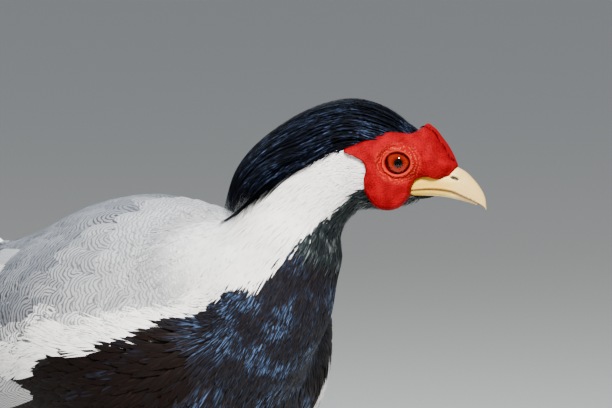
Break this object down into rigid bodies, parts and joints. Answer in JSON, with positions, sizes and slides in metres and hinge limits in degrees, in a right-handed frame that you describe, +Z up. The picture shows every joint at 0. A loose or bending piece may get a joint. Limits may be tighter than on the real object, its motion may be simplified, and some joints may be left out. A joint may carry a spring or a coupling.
{
  "type": "silver pheasant",
  "caption": "Standing male silver pheasant, life size, looking to its left: vermiculated white mantle, black crest and breast, bare red face, long vaulted white tail, red spurred legs.",
  "frame": {"origin": "on the floor, under the middle of the box round the bird", "axes": "+X the way the body faces, with the tail trailing to -X; +Y the bird's left; +Z up. The head is turned about 52 degrees to the bird's left."},
  "size_m": [0.9356, 0.1795, 0.3403],
  "materials": {
    "white_feather": "soft white plumage, finely barred with black on mantle, wings and tail",
    "black_feather": "glossy black plumage with a blue sheen",
    "red_skin": "bare velvety scarlet skin, papillose",
    "bill_horn": "pale ivory horn, satin",
    "eye": "wet orange-brown iris with a black pupil",
    "leg_skin": "scaled red skin, satin",
    "claw_horn": "greyish horn, satin"
  },
  "bodies": {
    "root": {"bill_lower": "bill_horn", "bill_upper": "bill_horn", "claw_left_hind": "claw_horn", "claw_left_inner": "claw_horn", "claw_left_middle": "claw_horn", "claw_left_outer": "claw_horn", "claw_right_hind": "claw_horn", "claw_right_inner": "claw_horn", "claw_right_middle": "claw_horn", "claw_right_outer": "claw_horn", "crest": "black_feather", "eye_left": "eye", "eye_right": "eye", "face_left": "red_skin", "face_right": "red_skin", "foot_left": "leg_skin", "foot_right": "leg_skin", "head": "white_feather", "neck": "white_feather", "shank_left": "leg_skin", "shank_right": "leg_skin", "spur_left": "claw_horn", "spur_right": "claw_horn", "tail_left": "white_feather", "tail_right": "white_feather", "thigh_left": "black_feather", "thigh_right": "black_feather", "torso": "black_feather", "undertail_coverts": "black_feather", "wing_left": "white_feather", "wing_right": "white_feather"}
  },
  "joints": []
}
